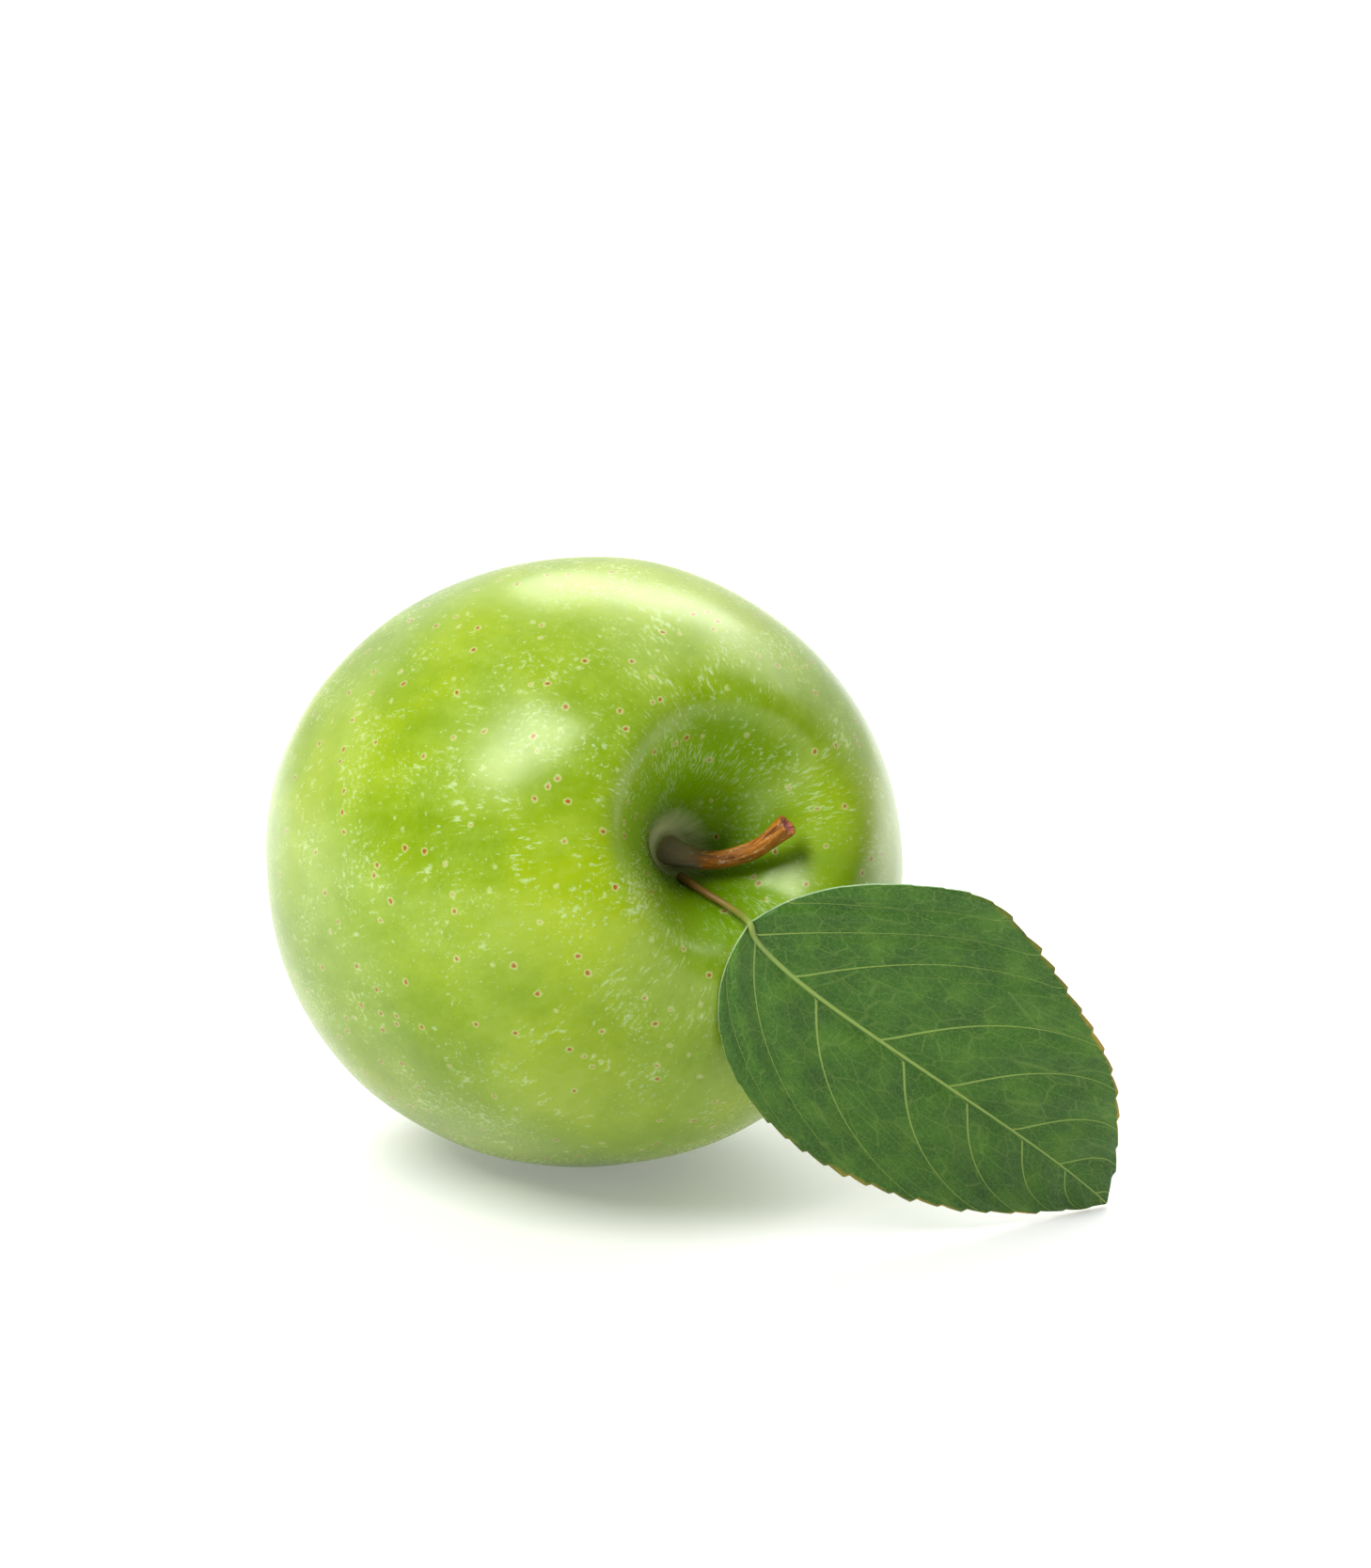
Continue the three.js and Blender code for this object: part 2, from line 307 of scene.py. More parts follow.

# %% [markdown]
# ## Apple skin
#
# The skin of a green apple is a thin cuticle of wax over coloured cells. The wax gives a soft broad gloss
# with an index of refraction of about 1.42, and a little light goes into the pale flesh and comes out
# again. The colour is never one green: slow clouds of yellower and bluer green, a pale bloom, and a deeper
# green down the funnel of the stalk, kept lighter than the real funnel as painted light against its shade.
# Each pattern is worked out from its real size in millimetres.

# %% Skin colours
def clouded_green(tree, own, streaks):
    """Slow clouds, about 25 mm across, under a pale bloom that lies thicker in some places."""
    clouds = noise_at(tree, own, 1 / 24, 8.0, 0.62)
    greens = [(0.32, "688700"), (0.46, "789400"), (0.56, "869e00"), (0.70, "95a800")]
    ground = add(tree, "ValToRGB", {"Fac": clouds}, stops=greens).outputs["Color"]
    patches = noise_at(tree, own, 1 / 17, 6.0)
    powder = noise_at(tree, own, 0.9, 6.0, 0.75)
    bloom = maths(tree, "MULTIPLY_ADD", streaks, 0.5, patches)
    bloom = maths(tree, "MULTIPLY_ADD", powder, 0.65, bloom)
    bloom = carried(tree, bloom, (0.98, 1.34), (0.0, 0.42))
    return laid_over(tree, ground, linear("9bb44e"), bloom)


def funnel_green_with_painted_light(tree, ground, streaks, way):
    """Deeper green towards the stalk, with an edge that the streaks break up. The green is kept lighter than
    the real funnel, as painted light against the funnel's shade.
    """
    ragged = maths(tree, "MULTIPLY_ADD", streaks, -18.0, way)
    depth = carried(tree, ragged, (1.0, 20.0), (0.6, 0.0), interpolation_type="SMOOTHSTEP")
    return laid_over(tree, ground, linear("649400"), depth)


# %% [markdown]
# The light marks come next. Pale specks are drawn out away from the stalk near the funnel and are grains
# elsewhere. Lenticels are the fruit's breathing pores, each a brown dot in a cream ring. They are scattered
# points: a Voronoi texture gives the distance to the nearest one, and a small distance is the dot, a larger
# one its ring.

# %% Specks and lenticels
PORE_SPACING = 2.9


def speck_share(tree, own, skin, way):
    """How pale the specks make a place: drawn out near the stalk, grains in drifts of about 10 mm."""
    dashes = noise_at(tree, drawn_out(tree, skin, (26, 26, 0.42)), 1.8, 4.0, 0.7)
    near_stem = carried(tree, way, (14.0, 50.0), (0.05, 0.0), interpolation_type="SMOOTHSTEP")
    clumps = maths(tree, "MULTIPLY_ADD", noise_at(tree, own, 1 / 6, 2.0), 0.5, -0.27)
    dashes = maths(tree, "ADD", dashes, near_stem)
    dashes = maths(tree, "ADD", dashes, clumps)
    drifts = maths(tree, "MULTIPLY_ADD", noise_at(tree, own, 1 / 10, 3.0), 0.5, -0.25)
    grains = maths(tree, "ADD", noise_at(tree, own, 1.7, 4.0, 0.7), drifts)
    specks = maths(tree, "MAXIMUM", dashes, grains)
    return carried(tree, specks, (0.61, 0.71), (0.0, 0.45))


def with_lenticels(tree, ground, own):
    """Cream rings 1.2 mm across with a brown dot of up to 0.8 mm, shaken a little out of round."""
    shaking = add(tree, "TexNoise", {"Vector": own, "Scale": 1.6, "Detail": 2.0}).outputs["Color"]
    inputs = {0: shaking, 1: (0.55, 0.55, 0.55), 2: own}
    shaken = add(tree, "VectorMath", inputs, operation="MULTIPLY_ADD").outputs["Vector"]
    pores = add(tree, "TexVoronoi", {"Vector": shaken, "Scale": 1 / PORE_SPACING}).outputs["Distance"]
    ring = carried(tree, pores, (0.34 / PORE_SPACING, 0.58 / PORE_SPACING), (0.5, 0.0))
    dot = carried(tree, pores, (0.20 / PORE_SPACING, 0.42 / PORE_SPACING), (1.0, 0.0))
    ringed = laid_over(tree, ground, linear("d5dba2"), ring)
    return laid_over(tree, ringed, linear("8f5400"), dot), ring


# %% [markdown]
# Now the skin's material. Round the foot of the stalk a pale russet felt covers the green, and it is the
# one dull place. Its colour is painted paler than the real felt, as painted light in the shaded pit. The
# specks are a little duller than the wax round them, and the skin is very slightly pitted.

# %% Skin finish
def skin_finish():
    material, tree, shader = new_material("waxed_apple_skin")
    own = mesh_map(tree, "own")
    skin = mesh_map(tree, "skin")
    way = add(tree, "SeparateXYZ", {0: skin}).outputs["Z"]
    streaks = noise_at(tree, drawn_out(tree, skin, (14, 14, 0.11)), 1.1, 7.0, 0.62)

    green = funnel_green_with_painted_light(tree, clouded_green(tree, own, streaks), streaks, way)
    marks = speck_share(tree, own, skin, way)
    dotted, ring = with_lenticels(tree, laid_over(tree, green, linear("c2d8ae"), marks), own)
    # Painted light: the felt round the stalk's foot is painted paler than the real russet, to brighten the
    # shaded pit.
    felt_and_light_edge = maths(tree, "MULTIPLY_ADD", streaks, 5.0, way)
    felt_and_painted_light = carried(tree, felt_and_light_edge, (5.5, 9.5), (0.75, 0.0))
    felted = laid_over(tree, dotted, linear("eef2ba"), felt_and_painted_light)

    gloss = maths(tree, "MAXIMUM", carried(tree, marks, (0.0, 1.0), (0.27, 0.42)), felt_and_painted_light)
    pits = maths(tree, "MULTIPLY_ADD", ring, 0.25, noise_at(tree, own, 0.9, 3.0))
    tree.links.new(felted, shader.inputs["Base Color"])
    tree.links.new(gloss, shader.inputs["Roughness"])
    tree.links.new(relief_of(tree, pits, 0.25, 0.05), shader.inputs["Normal"])
    shader.inputs["IOR"].default_value = 1.42
    shader.inputs["Specular Tint"].default_value = (0.95, 1.0, 0.72, 1.0)
    shader.inputs["Subsurface Weight"].default_value = 0.08
    shader.inputs["Subsurface Radius"].default_value = (1.0, 1.0, 0.35)
    shader.inputs["Subsurface Scale"].default_value = 2.0 * MM
    return material


piece("fruit_skin", fruit_shape, ["fruit"], [skin_finish()])

# %% [markdown]
# ## Rods that bend
#
# The stalk and the leaf's own thin stalk are both bent rods. A rod could be a curve with a round section,
# but then its rings couldn't be roughened one by one. Here a circle is made once and extruded ring by ring
# along a line, and each new ring is turned with the line, so it never twists. Each ring remembers how far
# along it is.

# %% A bent rod
def next_ring(shape, ring):
    """Extrudes a ring of vertices in place and gives the new ring."""
    members = set(ring)
    threads = list({edge for vert in ring for edge in vert.link_edges if edge.other_vert(vert) in members})
    made = bmesh.ops.extrude_edge_only(shape, edges=threads)["geom"]
    return [item for item in made if isinstance(item, bmesh.types.BMVert)]


def bent_rod(shape, line, radius_at, sides, map_layer):
    """Extrudes a circle along the line and gives its rings. radius_at takes the share of the length."""
    lengths = [0.0]
    for start, end in zip(line, line[1:]):
        lengths.append(lengths[-1] + (end - start).length)
    last = len(line) - 1
    tangents = [(line[min(i + 1, last)] - line[max(i - 1, 0)]).normalized() for i in range(len(line))]
    stand = Vector((0, 0, 1)).rotation_difference(tangents[0]).to_matrix().to_4x4()
    ring = bmesh.ops.create_circle(
        shape, segments=sides, radius=radius_at(0.0), matrix=Matrix.Translation(line[0]) @ stand
    )["verts"]
    for k, vert in enumerate(ring):
        turn = 2 * math.pi * k / sides
        vert[map_layer] = Vector((math.cos(turn), math.sin(turn), 0))
    rings = [ring]
    for i in range(1, len(line)):
        ring = next_ring(shape, rings[-1])
        growth = radius_at(lengths[i] / lengths[-1]) / radius_at(lengths[i - 1] / lengths[-1])
        turn = tangents[i - 1].rotation_difference(tangents[i]).to_matrix().to_4x4()
        grow_about_last = Matrix.Scale(growth, 4) @ Matrix.Translation(-line[i - 1])
        move = Matrix.Translation(line[i]) @ turn @ grow_about_last
        bmesh.ops.transform(shape, matrix=move, verts=ring)
        for vert in ring:
            vert[map_layer].z = lengths[i]
        rings.append(ring)
    return rings


def close_ends(shape, rings):
    for ring in (rings[0], rings[-1]):
        bmesh.ops.contextual_create(shape, geom=ring)


# %% [markdown]
# ## The stalk
#
# The stalk is a twig: it stands in the funnel on a swollen foot, bends out over the side and ends in a knob
# where it tore off the tree. Its bark has shallow ridges along it and a few scars. The torn end is a ragged
# rim round a sunken middle.

# %% Stalk shape
STALK_RADIUS = 1.15
STALK_LINE = [
    (0.1, -0.4, CAVITY_FLOOR + 0.4), (0.4, -1.3, CAVITY_FLOOR + 3), (2.4, -2.6, CAVITY_FLOOR + 7),
    (5.7, -2.2, CAVITY_FLOOR + 11.4), (8.2, 0, CAVITY_FLOOR + 15.7),
]
STALK_SIDES, STALK_SPAN_STEPS = 40, 18
RIDGE_HEIGHT, SCAR_HEIGHT = 0.10, 0.06
TORN_ROUGHNESS = 0.3
TORN_RINGS = [(0.86, 0.10), (0.8, -0.12), (0.7, -0.32), (0.55, -0.12), (0.3, 0.02)]


def stalk_radius(t):
    foot = 0.6 * math.exp(-((t / 0.19) ** 2))
    knob = 0.25 * math.exp(-(((1 - t) / 0.13) ** 2))
    return STALK_RADIUS * (0.97 + foot + knob)


def stalk_shape():
    shape = bmesh.new()
    rod = shape.verts.layers.float_vector.new("rod")
    line = line_through(STALK_LINE, STALK_SPAN_STEPS)
    rings = bent_rod(shape, line, stalk_radius, STALK_SIDES, rod)
    for centre, ring in zip(line, rings):
        for vert in ring:
            x, y, z = vert[rod]
            ridge = noise.noise(Vector((x * 2.2, y * 2.2, z * 0.22)))
            scar = noise.noise(Vector((x * 1.1, y * 1.1, z * 0.9 + 7)))
            vert.co += (vert.co - centre) * (RIDGE_HEIGHT * ridge + SCAR_HEIGHT * scar)
    torn_end(shape, rings[-1], line[-1], (line[-1] - line[-2]).normalized(), rod)
    bmesh.ops.contextual_create(shape, geom=rings[0])
    bmesh.ops.recalc_face_normals(shape, faces=shape.faces)
    bmesh.ops.transform(shape, matrix=in_place, verts=shape.verts)
    return shape


def torn_end(shape, rim, centre, outward, rod):
    """Closes the stalk with a ragged rim and a sunken middle: rings that shrink and sink."""
    for vert in rim:
        rough = noise.noise(Vector((vert[rod].x * 2.6, vert[rod].y * 2.6, 3.0)))
        vert.co += outward * (TORN_ROUGHNESS * rough)
    ring = rim
    for shrink, sink in TORN_RINGS:
        ring = next_ring(shape, ring)
        there = Matrix.Translation(centre + outward * sink)
        move = there @ Matrix.Scale(shrink, 4) @ Matrix.Translation(-centre)
        bmesh.ops.transform(shape, matrix=move, verts=ring)
        for vert in ring:
            vert.co += outward * 0.12 * noise.noise(vert.co * 2.7)
            vert[rod].z += 0.5
        centre = centre + outward * sink
    bmesh.ops.contextual_create(shape, geom=ring)


# %% [markdown]
# ## Bark
#
# Apple wood bark on a stalk is a thin orange-brown rind with paler scuffs, greyer and felted at its foot,
# and the torn end dries pinkish red round a dark pith. The grain runs along the rod, so the material reads
# the map that each ring kept: the direction round the rod and the length along it.

# %% Stalk finish
def bark_finish():
    material, tree, shader = new_material("apple_stalk_bark")
    rod = mesh_map(tree, "rod")
    along = add(tree, "SeparateXYZ", {0: rod}).outputs["Z"]

    # Grain lines drawn out along the rod, and pale scuffs that are hardly drawn out at all.
    grain = noise_at(tree, drawn_out(tree, rod, (1.6, 1.6, 0.14)), 2.4, 5.0, 0.6)
    browns = [(0.3, "4f2a08"), (0.45, "8e5208"), (0.57, "ac680e"), (0.72, "b98a3e")]
    rind = add(tree, "ValToRGB", {"Fac": grain}, stops=browns).outputs["Color"]
    scuffs = noise_at(tree, drawn_out(tree, rod, (1.6, 1.6, 0.9)), 1.5, 6.0, 0.65)
    scuffed = laid_over(tree, rind, linear("c9b394"), carried(tree, scuffs, (0.58, 0.68), (0.0, 0.75)))

    # The felted foot and the torn end.
    foot_edge = maths(tree, "MULTIPLY_ADD", grain, 5.0, along)
    felted = laid_over(tree, scuffed, linear("948a74"), carried(tree, foot_edge, (6.5, 9.5), (0.85, 0.0)))
    reds = [(0.35, "3d1d16"), (0.5, "a04a4a"), (0.68, "d08a86")]
    torn = add(tree, "ValToRGB", {"Fac": grain}, stops=reds).outputs["Color"]
    ended = laid_over(tree, felted, torn, carried(tree, along, (19.2, 19.9), (0.0, 1.0)))

    tree.links.new(ended, shader.inputs["Base Color"])
    tree.links.new(relief_of(tree, grain, 0.6, 0.12), shader.inputs["Normal"])
    shader.inputs["Roughness"].default_value = 0.6
    shader.inputs["IOR"].default_value = 1.45
    return material


piece("stalk_twig", stalk_shape(), ["stalk"], [bark_finish()])

# %% [markdown]
# ## The leaf's plan
#
# An apple leaf is an oval blade with a point, folded a little along its midrib, with about twenty teeth a
# side that point to the tip. The side veins leave the midrib at about forty degrees and bend forward
# towards the margin. The blade starts as a flat grid; each point of it is then carried to its place on the
# blade. To do that, the plan says how wide the blade is at each share of its length, and which side vein a
# point lies on.

# %% Leaf plan
LEAF_LENGTH = 64.6
LEAF_HALF_WIDTH = 17.8
TEETH_SPACING = 3.15
TOOTH_HEIGHT = 0.75
UPPER_VEINS = [0.02, 0.14, 0.36, 0.53, 0.70, 0.84]
LOWER_VEINS = [0.03, 0.20, 0.42, 0.58, 0.73, 0.86]
ROOM_BEFORE_FIRST, ROOM_AFTER_LAST = 0.13, 0.12
LOWER_FULL, UPPER_FULL = 0.4016, 0.323


def half_width(u, upper):
    """The lower half starts rounder; the upper bulges at a third of its length and is fuller at the tip."""
    if not upper:
        return LEAF_HALF_WIDTH * math.sqrt(u) * (1 - u) ** 0.9 / LOWER_FULL
    fullness = 1 + 0.085 * math.exp(-(((u - 0.3) / 0.12) ** 2)) + 0.16 * smooth_step(u, 0.55, 0.9)
    return LEAF_HALF_WIDTH * fullness * u**0.62 * (1 - u) ** 0.95 / UPPER_FULL


def rib_height(u):
    """How far across the midrib lies from the straight line between the base and the tip."""
    return -9.3 * u**0.6 * (1 - u) ** 2.5


def tip_bend(u):
    """How far the whole blade bends down near its tip."""
    return -1.2 * u**6


def vein_number(u, from_rib):
    """Counts the side veins from the base: a point on the third vein gets 2."""
    room = max(half_width(u, from_rib >= 0), 0.5)
    start, bend = (0.8, 0.65) if from_rib >= 0 else (0.85, 1.3)
    lean = abs(from_rib) * (start + bend * min(abs(from_rib) / room, 1) ** 2)
    root = u - lean / LEAF_LENGTH
    roots = UPPER_VEINS if from_rib >= 0 else LOWER_VEINS
    if root <= roots[0]:
        return (root - roots[0]) / ROOM_BEFORE_FIRST
    for k in range(len(roots) - 1):
        if root <= roots[k + 1]:
            return k + (root - roots[k]) / (roots[k + 1] - roots[k])
    return len(roots) - 1 + (root - roots[-1]) / ROOM_AFTER_LAST


# %% [markdown]
# The blade bulges softly between its veins and sinks along them, so the number of the vein also gives the
# height: a whole number is a groove, and half way between two is the top of a bulge.

# %% Leaf shape
BLADE_STEPS, HALF_BLADE_STEPS = 230, 34
BLADE_THICKNESS = 0.36
VEIN_SINK, RIB_SINK, RIB_GROOVE_WIDTH = 0.5, 0.28, 0.7
leaf_turn = Matrix.Rotation(math.radians(22.6), 4, "Z") @ Matrix.Rotation(math.radians(39.8), 4, "Y")
leaf_turn = leaf_turn @ Matrix.Rotation(math.radians(102.5), 4, "X")
leaf_base = apple_middle + Vector((18.4, -34.6, 1.9)) * MM
leaf_in_place = Matrix.Translation(leaf_base) @ leaf_turn @ Matrix.Scale(MM, 4)


def tooth_height(u, upper):
    """How far the margin stands out: a tooth climbs slowly and drops at once, and is small near the base."""
    margin_way = LEAF_LENGTH * u / TEETH_SPACING + 0.35 * upper
    uneven = 0.75 + 0.9 * noise.noise(Vector((math.floor(margin_way) * 1.7, 4.0 * upper, 2.2)))
    grown_share = (0.2 + 0.8 * smooth_step(u, 0.2, 0.5)) * smooth_step(1 - u, 0, 0.05)
    return (margin_way % 1) ** 0.7 * TOOTH_HEIGHT * uneven * grown_share


def blade_point(u, across):
    """A point of the blade, its distance from the midrib and its vein number; across goes from -1 to 1."""
    reach = half_width(u, across > 0) + 0.2 + (tooth_height(u, across > 0) - 0.35) * abs(across) ** 12
    y = rib_height(u) * (1 - abs(across)) + reach * across
    from_rib = y - rib_height(u)
    arch = 2.2 * math.sin(math.pi * u) - 0.8 * math.sin(2 * math.pi * u)
    wave = 0.5 * math.sin(9 * u) * (from_rib / LEAF_HALF_WIDTH) ** 2
    number = vein_number(u, from_rib)
    bulge = 0.5 - 0.5 * math.cos(2 * math.pi * number)
    quilt = VEIN_SINK * bulge * smooth_step(abs(from_rib), 0.4, 3) * smooth_step(1 - abs(across), 0, 0.25)
    groove = -RIB_SINK * math.exp(-((from_rib / RIB_GROOVE_WIDTH) ** 2)) * smooth_step(1 - u, 0, 0.3)
    high = arch + 0.09 * abs(from_rib) + wave + quilt + groove - 0.1
    return Vector((LEAF_LENGTH * u, y + tip_bend(u), high)), from_rib, number


def leaf_blade(shape, blade, margin):
    """Carries a grid to the blade's shape and thickens it; the new faces are the underside."""
    made = bmesh.ops.create_grid(shape, x_segments=BLADE_STEPS, y_segments=2 * HALF_BLADE_STEPS, size=1)
    for vert in made["verts"]:
        u = 0.5 - 0.5 * math.cos(math.pi * (vert.co.x + 1) / 2)
        across = vert.co.y
        vert.co, from_rib, number = blade_point(u, across)
        vert[blade] = Vector((LEAF_LENGTH * u, from_rib, number))
        vert[margin] = abs(across)
    upper = set(shape.faces)
    bmesh.ops.solidify(shape, geom=list(upper), thickness=BLADE_THICKNESS)
    lower = set(shape.faces) - upper
    for face in lower:
        face.material_index = 1
    print("blade faces, upper and lower:", len(upper), len(lower))


# %% [markdown]
# The leaf's thin stalk rises out of the funnel, beside the fruit's stalk, and runs on under the blade as
# its midrib, thinner and thinner to the tip. It is one long bent rod, and it makes the raised rib on the
# underside.

# %% Leaf with its stalk
in_leaf = leaf_in_place.inverted() @ in_place
PETIOLE_LINE = [(-1.3, -3.9, 21.6), (-0.7, -6.2, 25.7), (0.5, -9.1, 30.3)]
RIB_SHARES = [0.0, 0.03, 0.1, 0.25, 0.45, 0.65, 0.85, 0.97]
RIB_SIDES, RIB_SPAN_STEPS = 14, 9


def rib_rod(shape, blade):
    places = [in_leaf @ Vector(p) for p in PETIOLE_LINE]
    for u in RIB_SHARES:
        below = 0.35 if u > 0.03 else 0.1
        places.append(blade_point(u, 0.0)[0] - Vector((0, 0, below)))
    line = line_through(places, RIB_SPAN_STEPS)
    close_ends(shape, bent_rod(shape, line, rib_radius, RIB_SIDES, blade))


def rib_radius(t):
    """A little thicker at its root, then thinner and thinner to the tip."""
    return 0.46 - 0.28 * t + 0.12 * math.exp(-((t / 0.04) ** 2))


def leaf_shape():
    shape = bmesh.new()
    blade = shape.verts.layers.float_vector.new("blade")
    margin = shape.verts.layers.float.new("margin")
    leaf_blade(shape, blade, margin)
    blade_faces = set(shape.faces)
    rib_rod(shape, blade)
    for face in set(shape.faces) - blade_faces:
        face.material_index = 2
    bmesh.ops.recalc_face_normals(shape, faces=shape.faces)
    bmesh.ops.transform(shape, matrix=leaf_in_place, verts=shape.verts)
    return shape


# %% [markdown]
# ## Leaf green
#
# The upper face of a leaf is a thin waxy skin over dark green tissue: dull satin in clouds of darker and
# lighter green, with pale veins. The midrib and side veins come from the plan's numbers, so they
# follow the shape. The net between them is a Voronoi pattern of cells about 2 mm across, with a finer one
# of 0.8 mm inside.

# %% Leaf finishes
def main_veins(tree, along, from_rib, number):
    """The midrib and the side veins, from the distance to the midrib and from the vein number."""
    side = maths(tree, "ABSOLUTE", from_rib)
    rib_width = carried(tree, along, (0.0, 60.0), (0.3, 0.1))
    rib = carried(tree, maths(tree, "DIVIDE", side, rib_width), (0.6, 1.2), (1.0, 0.0))
    spread = maths(tree, "PINGPONG", number, 0.5)
    vein_width = carried(tree, side, (0.0, 15.0), (0.019, 0.008))
    veins = carried(tree, maths(tree, "DIVIDE", spread, vein_width), (0.5, 1.3), (0.9, 0.0))
    return maths(tree, "MAXIMUM", rib, veins)


def cell_walls(tree, place, scale, wall, share):
    """The walls between Voronoi cells, as wide as the wall and as strong as the share."""
    inputs = {"Vector": place, "Scale": scale}
    edges = add(tree, "TexVoronoi", inputs, feature="DISTANCE_TO_EDGE").outputs["Distance"]
    return carried(tree, edges, (0.0, wall), (share, 0.0))


def vein_net(tree, plan, from_rib, number):
    """Cells about 2 mm across that are drawn out between the side veins, with cells of 0.8 mm inside."""
    across_veins = maths(tree, "MULTIPLY", number, 5.5)
    netted = add(tree, "CombineXYZ", {0: across_veins, 1: from_rib, 2: 0.0}).outputs["Vector"]
    coarse = cell_walls(tree, netted, 0.5, 0.045, 0.24)
    fine = cell_walls(tree, plan, 1.25, 0.12, 0.1)
    return maths(tree, "MAXIMUM", coarse, fine)


def dry_margin(tree, along, clouds):
    """Where the teeth have dried, in patches, from a quarter of the length on."""
    margin = add(tree, "Attribute", attribute_name="margin").outputs["Fac"]
    patchy = maths(tree, "MULTIPLY_ADD", clouds, 0.12, margin)
    dry = carried(tree, patchy, (1.03, 1.06), (0.0, 0.85))
    ripe = carried(tree, along, (14.0, 44.0), (0.0, 1.0))
    return maths(tree, "MULTIPLY", dry, ripe)


def leaf_finish(name, greens, vein, roughness, relief_depth, sunk_veins):
    material, tree, shader = new_material(name)
    blade = mesh_map(tree, "blade")
    along, from_rib, number = add(tree, "SeparateXYZ", {0: blade}).outputs
    plan = add(tree, "CombineXYZ", {0: along, 1: from_rib, 2: 0.0}).outputs["Vector"]

    clouds = noise_at(tree, plan, 0.16, 5.0, 0.62)
    ground = add(tree, "ValToRGB", {"Fac": clouds}, stops=greens).outputs["Color"]
    net = vein_net(tree, plan, from_rib, number)
    lines = maths(tree, "MAXIMUM", main_veins(tree, along, from_rib, number), net)
    veined = laid_over(tree, ground, linear(vein), lines)

    # Short pale hairs all over, 0.15 mm wide, and a dry yellow edge on the teeth.
    hairs = noise_at(tree, plan, 3.2, 2.0, 0.7)
    fuzzy = laid_over(tree, veined, linear("8fa566"), carried(tree, hairs, (0.52, 0.72), (0.0, 0.22)))
    edged = laid_over(tree, fuzzy, linear("b08d32"), dry_margin(tree, along, clouds))
    surface = maths(tree, "MULTIPLY_ADD", hairs, 0.5, lines)
    relief = relief_of(tree, surface, 0.5, relief_depth, invert=sunk_veins)

    tree.links.new(edged, shader.inputs["Base Color"])
    tree.links.new(relief, shader.inputs["Normal"])
    shader.inputs["Roughness"].default_value = roughness
    shader.inputs["IOR"].default_value = 1.35
    return material


def petiole_finish():
    """Brown at its root, olive and then leaf green as it runs into the midrib."""
    material, tree, shader = new_material("leaf_stalk_rind")
    rod = mesh_map(tree, "blade")
    along = add(tree, "SeparateXYZ", {0: rod}).outputs["Z"]
    warm = maths(tree, "MULTIPLY_ADD", noise_at(tree, rod, 1.2, 4.0), 6.0, along)
    warm = carried(tree, warm, (0.0, 26.0), (0.0, 1.0))
    browns = [(0.1, "5a3a12"), (0.35, "7c5a20"), (0.55, "7f7a30"), (0.9, "7d9440")]
    rind = add(tree, "ValToRGB", {"Fac": warm}, stops=browns).outputs["Color"]
    tree.links.new(rind, shader.inputs["Base Color"])
    shader.inputs["Roughness"].default_value = 0.5
    return material


leaf_top = leaf_finish(
    "apple_leaf_upper_face",
    [(0.32, "224d06"), (0.5, "2e5b08"), (0.68, "416c10")], "86a04a", 0.5, 0.2, True,
)
leaf_under = leaf_finish(
    "apple_leaf_underside",
    [(0.3, "7d9a70"), (0.5, "8aa67a"), (0.7, "98b187")], "b3c29a", 0.75, 0.1, False,
)
piece("leaf_with_stalk", leaf_shape(), ["leaf"], [leaf_top, leaf_under, petiole_finish()])

# %% [markdown]
# ## The dried flower
#
# At the far end the flower never fell off. Five narrow sepals stand round the basin like a crown, felted,
# with their tips curled outward, and inside them are the withered stamens and the stub of the style. Each
# sepal is a small grid, bent to shape and then thickened; they differ a little in how they curl and
# crumple, because no two dry alike.

# %% Calyx shapes
SEPALS = 5
SEPAL_LENGTH, SEPAL_HALF_WIDTH, SEPAL_THICKNESS = 6.3, 1.5, 0.32
SEPAL_RING, SEPAL_CURL, SEPAL_CRUMPLE = 3.0, 1.7, 0.22
SEPAL_STEPS = (12, 26)


def sepal_shape(number):
    """One sepal: across goes from -1 to 1 over its width, along from 0 at its foot to 1 at its point."""
    shape = bmesh.new()
    felt_map = shape.verts.layers.float_vector.new("own")
    made = bmesh.ops.create_grid(shape, x_segments=SEPAL_STEPS[0], y_segments=SEPAL_STEPS[1], size=1)
    curl = SEPAL_CURL + 0.5 * noise.noise(Vector((number, 3.3, 0.5)))
    for vert in made["verts"]:
        across, along = vert.co.x, (vert.co.y + 1) / 2
        width = SEPAL_HALF_WIDTH * (1 - along) ** 0.7 + 0.08
        y = width * across
        crumple = SEPAL_CRUMPLE * noise.noise(Vector((across * 1.4, along * 3.5, number * 5.0)))
        out = SEPAL_RING - 0.34 * across * across + along + curl * along**3 + crumple
        drop = SEPAL_LENGTH * along * (1 - 0.24 * along)
        vert[felt_map] = Vector((y, SEPAL_LENGTH * along, number * 20.0))
        vert.co = Vector((out, y + 0.5 * crumple, BASIN_FLOOR - 1.1 - drop))
    bmesh.ops.solidify(shape, geom=list(shape.faces), thickness=SEPAL_THICKNESS)
    bmesh.ops.recalc_face_normals(shape, faces=shape.faces)
    turn = Matrix.Rotation(2 * math.pi * number / SEPALS, 4, "Z")
    bmesh.ops.transform(shape, matrix=in_place @ turn, verts=shape.verts)
    return shape


STAMENS = 10
STAMEN_RING = 1.7
STUB_LINE = [(0.9, 0, BASIN_FLOOR - 0.4), (0.8, 0.1, BASIN_FLOOR - 2), (0.5, 0, BASIN_FLOOR - 3.4)]


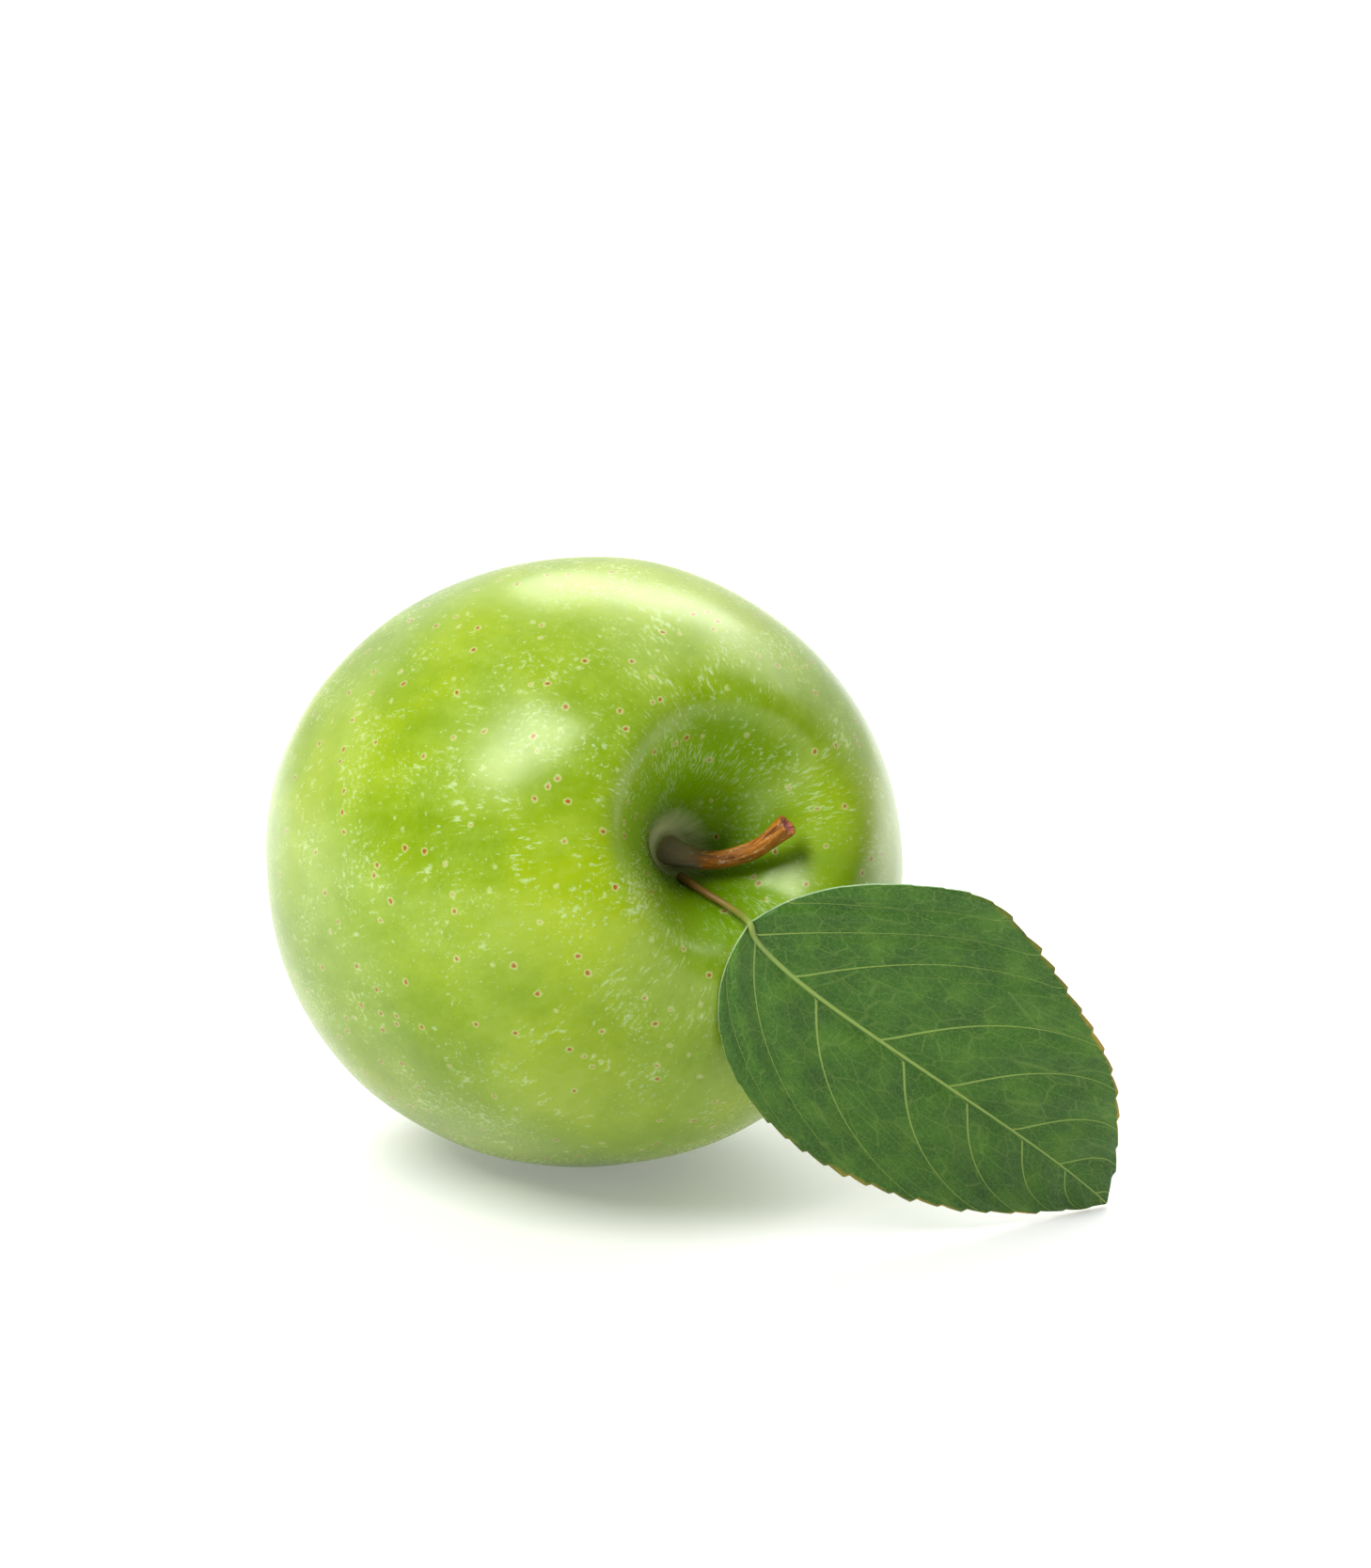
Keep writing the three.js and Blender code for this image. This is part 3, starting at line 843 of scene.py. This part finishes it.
def stamens_shape():
    """A ring of withered threads, each leaning its own way, and the stub of the style in the middle."""
    shape = bmesh.new()
    rod = shape.verts.layers.float_vector.new("rod")
    for number in range(STAMENS):
        turn = 2 * math.pi * (number + 0.5) / STAMENS
        lean = 0.5 * noise.noise(Vector((number * 1.7, 0.3, 9.1)))
        foot = Vector((STAMEN_RING * math.cos(turn), STAMEN_RING * math.sin(turn), BASIN_FLOOR - 0.5))
        middle = foot + Vector((0.3 * lean, -0.3 * lean, -2.1))
        tip = foot + Vector((-0.35 * math.cos(turn) + lean, -0.35 * math.sin(turn) + lean, -4.1))
        close_ends(shape, bent_rod(shape, line_through([foot, middle, tip], 7), stamen_radius, 8, rod))
    close_ends(shape, bent_rod(shape, line_through(STUB_LINE, 5), stub_radius, 10, rod))
    bmesh.ops.recalc_face_normals(shape, faces=shape.faces)
    bmesh.ops.transform(shape, matrix=in_place, verts=shape.verts)
    return shape


def stamen_radius(t):
    """A thin thread with the dried anther at its end."""
    return 0.13 + 0.27 * math.exp(-(((t - 0.9) / 0.09) ** 2))


def stub_radius(t):
    return 0.6 - 0.25 * t


# %% [markdown]
# ## Dried felt
#
# The sepals keep their grey-brown hairs when they dry, so they scatter light and never shine. The threads
# inside are darker and barer. Both are a mottle of two browns; the hairs are a fine relief drawn along the
# sepal.

# %% Calyx finishes
def dried_finish(name, map_name, dark, light, grain_scale):
    material, tree, shader = new_material(name)
    hairs = noise_at(tree, drawn_out(tree, mesh_map(tree, map_name), (1, 0.4, 1)), grain_scale, 5.0)
    colour = add(tree, "ValToRGB", {"Fac": hairs}, stops=[(0.35, dark), (0.68, light)]).outputs["Color"]
    tree.links.new(colour, shader.inputs["Base Color"])
    tree.links.new(relief_of(tree, hairs, 0.6, 0.1), shader.inputs["Normal"])
    shader.inputs["Roughness"].default_value = 0.85
    return material


sepal_felt = dried_finish("dried_sepal_felt", "own", "4a3823", "9a8a68", 3.0)
for number in range(SEPALS):
    piece(f"calyx_sepal_{number + 1}", sepal_shape(number), [f"sepal_{number + 1}"], [sepal_felt])
stamen_nodes = [f"stamen_{number:02d}" for number in range(1, STAMENS + 1)] + ["style_stub"]
stamen_brown = dried_finish("withered_stamen_threads", "rod", "24170d", "5d452c", 1.5)
piece("withered_stamens", stamens_shape(), stamen_nodes, [stamen_brown])

# %% [markdown]
# ## The stage
#
# A white table that glows a little, more and more with the distance, and a room that is white behind the
# apple and grey in front, so that the wax has something bright to mirror at its edges. Two soft boxes light
# it: a strong one high on the left in front, and a weaker one behind and above that draws the pale band
# along the top. A broad far light from behind gives the soft shadow.

# %% Floor and light
TABLE_HALF_SIDE = 4.0
GLOW_REACH = (70 * MM, 260 * MM)
GLOW = (0.24, 0.9)


def glowing_table_paint():
    """White lacquer that glows as painted light, more strongly away from the apple."""
    paint, tree, shader = new_material("white_lacquer_painted_glow")
    place = add(tree, "TexCoord").outputs["Object"]
    away = add(tree, "VectorMath", {0: place}, operation="LENGTH").outputs["Value"]
    tree.links.new(carried(tree, away, GLOW_REACH, GLOW), shader.inputs["Emission Strength"])
    shader.inputs["Base Color"].default_value = linear("dadad8")
    shader.inputs["Roughness"].default_value = 0.9
    shader.inputs["Emission Color"].default_value = (1, 1, 1, 1)
    return paint


def stage():
    shape = bmesh.new()
    bmesh.ops.create_grid(shape, x_segments=1, y_segments=1, size=TABLE_HALF_SIDE)
    mesh = bpy.data.meshes.new("white_table")
    shape.to_mesh(mesh)
    shape.free()
    floor = bpy.data.objects.new("white_table", mesh)
    floor.location.z = fruit_low.z
    bpy.context.collection.objects.link(floor)
    mesh.materials.append(glowing_table_paint())


def soft_box(name, towards, distance, size, watts):
    """A light of the size (width, height) that faces the fruit's middle from the direction towards."""
    lamp = bpy.data.lights.new(name, "AREA")
    lamp.shape = "RECTANGLE"
    lamp.size, lamp.size_y = size
    lamp.energy = watts
    box = bpy.data.objects.new(name, lamp)
    direction = Vector(towards).normalized()
    box.location = apple_middle + distance * direction
    box.rotation_euler = direction.to_track_quat("Z", "Y").to_euler()
    bpy.context.collection.objects.link(box)


def far_light(name, towards, spread, strength):
    """A light from far away in the direction towards, with the apparent size spread."""
    lamp = bpy.data.lights.new(name, "SUN")
    lamp.angle = spread
    lamp.energy = strength
    sun = bpy.data.objects.new(name, lamp)
    sun.rotation_euler = Vector(towards).normalized().to_track_quat("Z", "Y").to_euler()
    bpy.context.collection.objects.link(sun)


def room_light():
    """A room whose light falls off from white behind the apple to grey on the camera's side."""
    room = bpy.data.worlds.new("white_room")
    room.use_nodes = True
    tree = room.node_tree
    way = add(tree, "TexCoord").outputs["Generated"]
    depth = add(tree, "SeparateXYZ", {0: way}).outputs["Y"]
    strength = carried(tree, depth, (-0.25, 0.85), (0.23, 1.0))
    tree.nodes["Background"].inputs["Color"].default_value = (1, 1, 1, 1)
    tree.links.new(strength, tree.nodes["Background"].inputs["Strength"])
    bpy.context.scene.world = room


stage()
room_light()
soft_box("key_box", (-0.46, -0.42, 0.78), 0.9, (0.31, 0.50), 9.5)
soft_box("back_box", (0.11, 0.74, 0.67), 0.9, (0.60, 0.34), 3.2)
far_light("back_light", (0.42, 0.52, 0.74), math.radians(50), 1.05)
bpy.context.scene.view_settings.view_transform = "Standard"
